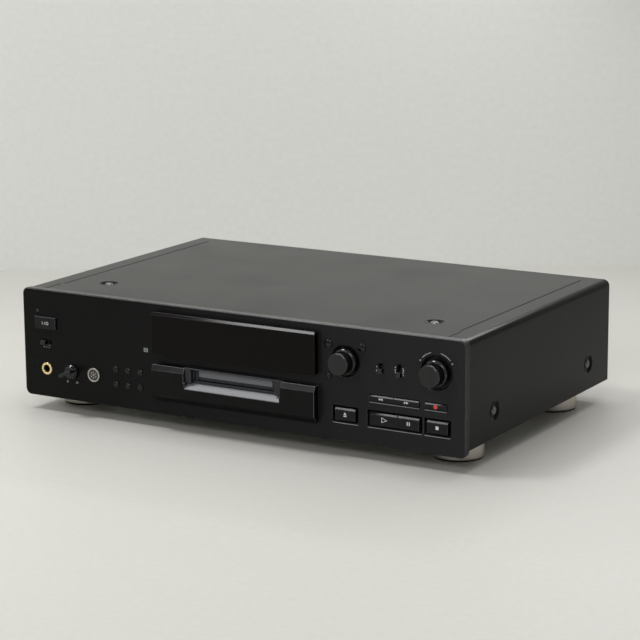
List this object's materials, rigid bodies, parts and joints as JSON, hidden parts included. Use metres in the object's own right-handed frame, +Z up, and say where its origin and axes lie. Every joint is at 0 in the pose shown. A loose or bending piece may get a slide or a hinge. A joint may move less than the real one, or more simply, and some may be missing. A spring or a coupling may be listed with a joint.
{
  "type": "minidisc deck",
  "caption": "Full-width disc recorder deck: black steel case on round feet, moulded front with window, slot with flap, keys, knobs, switches and sockets, and a working disc mechanism",
  "frame": {"origin": "Centre of the bounding box in plan, on the plane of the feet", "axes": "+X to the right seen from the front, -Y out of the front, +Z up"},
  "size_m": [0.43, 0.2928, 0.1075],
  "materials": {
    "plated_steel": "zinc plated, satin",
    "black_steel": "fine satin black paint",
    "panel_plastic": "satin black",
    "smoked_window": "polished smoked",
    "bezel_plastic": "satin blue grey",
    "sill_plastic": "satin light grey",
    "flap_plastic": "satin mid grey",
    "foot_metal": "turned, champagne",
    "pad_rubber": "matt",
    "black_screw": "black",
    "jack_plastic": "satin black",
    "gold_ring": "gold plated",
    "socket_metal": "plated",
    "green_board": "lacquered",
    "brown_board": "lacquered",
    "tube_glass": "dark glass",
    "transformer_iron": "varnished laminations",
    "sink_aluminium": "extruded",
    "capacitor_sleeve": "sleeved",
    "jack_metal": "nickel plated",
    "bright_steel": "bright",
    "motor_steel": "plated cans",
    "sled_plastic": "glass filled",
    "gear_plastic": "natural",
    "knob_plastic": "satin black",
    "key_plastic": "satin dark grey"
  },
  "bodies": {
    "case": {"chassis": "plated_steel", "top_brace": "plated_steel", "rear_panel": "black_steel", "top_cover": "black_steel", "front_panel": "panel_plastic", "slot_block": "panel_plastic", "display_window": "smoked_window", "slot_bezel": "bezel_plastic", "slot_sill": "sill_plastic", "feet": "foot_metal", "foot_pads": "pad_rubber", "cover_screws": "black_screw", "rear_screws": "black_screw", "headphone_jack": "jack_plastic", "headphone_ring": "gold_ring", "keyboard_socket": "socket_metal", "front_board": "green_board", "display_tube": "tube_glass", "main_board": "green_board", "power_board": "brown_board", "transformer": "transformer_iron", "heat_sink": "sink_aluminium", "capacitors": "capacitor_sleeve", "phono_jacks": "jack_metal", "optical_sockets": "jack_plastic", "cord_bushing": "jack_plastic", "mech_frame": "plated_steel", "guide_rods": "bright_steel", "mech_motors": "motor_steel"},
    "power_button": {"power_button": "key_plastic"},
    "eject_key": {"eject_key": "key_plastic"},
    "play_key": {"play_key": "key_plastic"},
    "pause_key": {"pause_key": "key_plastic"},
    "stop_key": {"stop_key": "key_plastic"},
    "rewind_key": {"rewind_key": "key_plastic"},
    "forward_key": {"forward_key": "key_plastic"},
    "record_key": {"record_key": "key_plastic"},
    "function_button_1": {"function_button_1": "key_plastic"},
    "function_button_2": {"function_button_2": "key_plastic"},
    "function_button_3": {"function_button_3": "key_plastic"},
    "function_button_4": {"function_button_4": "key_plastic"},
    "function_button_5": {"function_button_5": "key_plastic"},
    "function_button_6": {"function_button_6": "key_plastic"},
    "menu_button": {"menu_button": "key_plastic"},
    "yes_button": {"yes_button": "key_plastic"},
    "clear_button": {"clear_button": "key_plastic"},
    "jog_plunger": {"jog_plunger": "gear_plastic"},
    "jog_knob": {"jog_knob": "knob_plastic"},
    "record_knob": {"record_knob": "knob_plastic"},
    "phones_knob": {"phones_knob": "knob_plastic"},
    "timer_slider": {"timer_slider": "key_plastic"},
    "mode_slider": {"mode_slider": "key_plastic"},
    "input_slider": {"input_slider": "key_plastic"},
    "slot_flap": {"slot_flap": "flap_plastic"},
    "turntable": {"turntable": "bright_steel"},
    "pickup_sled": {"pickup_sled": "sled_plastic"},
    "sled_gear": {"sled_gear": "gear_plastic"},
    "disc_holder": {"disc_holder": "plated_steel"},
    "cam_slider": {"cam_slider": "bright_steel"},
    "loading_gear": {"loading_gear": "gear_plastic"}
  },
  "joints": [
    {"name": "power_button_press", "type": "slide", "parent": "case", "child": "power_button", "axis": [0, 1, 0], "range_m": [0, 0.0016], "stiffness_N_per_m": 500},
    {"name": "eject_key_press", "type": "slide", "parent": "case", "child": "eject_key", "axis": [0, 1, 0], "range_m": [0, 0.0012], "stiffness_N_per_m": 500},
    {"name": "play_key_press", "type": "slide", "parent": "case", "child": "play_key", "axis": [0, 1, 0], "range_m": [0, 0.0012], "stiffness_N_per_m": 500},
    {"name": "pause_key_press", "type": "slide", "parent": "case", "child": "pause_key", "axis": [0, 1, 0], "range_m": [0, 0.0012], "stiffness_N_per_m": 500},
    {"name": "stop_key_press", "type": "slide", "parent": "case", "child": "stop_key", "axis": [0, 1, 0], "range_m": [0, 0.0012], "stiffness_N_per_m": 500},
    {"name": "rewind_key_press", "type": "slide", "parent": "case", "child": "rewind_key", "axis": [0, 1, 0], "range_m": [0, 0.0012], "stiffness_N_per_m": 500},
    {"name": "forward_key_press", "type": "slide", "parent": "case", "child": "forward_key", "axis": [0, 1, 0], "range_m": [0, 0.0012], "stiffness_N_per_m": 500},
    {"name": "record_key_press", "type": "slide", "parent": "case", "child": "record_key", "axis": [0, 1, 0], "range_m": [0, 0.0012], "stiffness_N_per_m": 500},
    {"name": "function_button_1_press", "type": "slide", "parent": "case", "child": "function_button_1", "axis": [0, 1, 0], "range_m": [0, 0.0008], "stiffness_N_per_m": 500},
    {"name": "function_button_2_press", "type": "slide", "parent": "case", "child": "function_button_2", "axis": [0, 1, 0], "range_m": [0, 0.0008], "stiffness_N_per_m": 500},
    {"name": "function_button_3_press", "type": "slide", "parent": "case", "child": "function_button_3", "axis": [0, 1, 0], "range_m": [0, 0.0008], "stiffness_N_per_m": 500},
    {"name": "function_button_4_press", "type": "slide", "parent": "case", "child": "function_button_4", "axis": [0, 1, 0], "range_m": [0, 0.0008], "stiffness_N_per_m": 500},
    {"name": "function_button_5_press", "type": "slide", "parent": "case", "child": "function_button_5", "axis": [0, 1, 0], "range_m": [0, 0.0008], "stiffness_N_per_m": 500},
    {"name": "function_button_6_press", "type": "slide", "parent": "case", "child": "function_button_6", "axis": [0, 1, 0], "range_m": [0, 0.0008], "stiffness_N_per_m": 500},
    {"name": "menu_button_press", "type": "slide", "parent": "case", "child": "menu_button", "axis": [0, 1, 0], "range_m": [0, 0.0008], "stiffness_N_per_m": 500},
    {"name": "yes_button_press", "type": "slide", "parent": "case", "child": "yes_button", "axis": [0, 1, 0], "range_m": [0, 0.0008], "stiffness_N_per_m": 500},
    {"name": "clear_button_press", "type": "slide", "parent": "case", "child": "clear_button", "axis": [0, 1, 0], "range_m": [0, 0.0008], "stiffness_N_per_m": 500},
    {"name": "jog_push", "type": "slide", "parent": "case", "child": "jog_plunger", "axis": [0, 1, 0], "range_m": [0, 0.001], "stiffness_N_per_m": 500},
    {"name": "jog_turn", "type": "hinge", "parent": "jog_plunger", "child": "jog_knob", "pos_m": [0.1069, -0.1336, 0.0787], "axis": [0, 1, 0], "continuous": true},
    {"name": "record_turn", "type": "hinge", "parent": "case", "child": "record_knob", "pos_m": [0.1888, -0.1336, 0.0787], "axis": [0, 1, 0], "continuous": true},
    {"name": "phones_turn", "type": "hinge", "parent": "case", "child": "phones_knob", "pos_m": [-0.1643, -0.1336, 0.0381], "axis": [0, 1, 0], "range_deg": [-38, 266]},
    {"name": "timer_slide", "type": "slide", "parent": "case", "child": "timer_slider", "axis": [1, 0, 0], "range_m": [0, 0.0052]},
    {"name": "mode_slide", "type": "slide", "parent": "case", "child": "mode_slider", "axis": [0, 0, 1], "range_m": [0, 0.0036]},
    {"name": "input_slide", "type": "slide", "parent": "case", "child": "input_slider", "axis": [0, 0, 1], "range_m": [0, 0.0059]},
    {"name": "flap_swing", "type": "hinge", "parent": "case", "child": "slot_flap", "pos_m": [0.003, -0.1304, 0.0547], "axis": [1, 0, 0], "range_deg": [0, 82], "stiffness_Nm_per_rad": 0.002, "springref_deg": -11.46},
    {"name": "disc_turn", "type": "hinge", "parent": "case", "child": "turntable", "pos_m": [0.003, -0.0726, 0.0302], "axis": [0, 0, 1], "continuous": true},
    {"name": "sled_slide", "type": "slide", "parent": "case", "child": "pickup_sled", "axis": [0, 1, 0], "range_m": [0, 0.016]},
    {"name": "sled_gear_turn", "type": "hinge", "parent": "case", "child": "sled_gear", "pos_m": [-0.0304, -0.0416, 0.0297], "axis": [0, 0, 1], "range_deg": [0, 143.5]},
    {"name": "holder_drop", "type": "slide", "parent": "case", "child": "disc_holder", "axis": [0, 0, -1], "range_m": [0, 0.005]},
    {"name": "cam_slide", "type": "slide", "parent": "case", "child": "cam_slider", "axis": [0, 1, 0], "range_m": [0, 0.012]},
    {"name": "loading_gear_turn", "type": "hinge", "parent": "case", "child": "loading_gear", "pos_m": [0.0488, -0.0576, 0.0293], "axis": [1, 0, 0], "range_deg": [-107.6, 0]}
  ],
  "couplings": [
    {"joint": "sled_gear_turn", "follows": "sled_slide", "rad_per_m": 156.25},
    {"joint": "cam_slide", "follows": "holder_drop", "ratio": 2.4},
    {"joint": "loading_gear_turn", "follows": "holder_drop", "rad_per_m": -375}
  ]
}
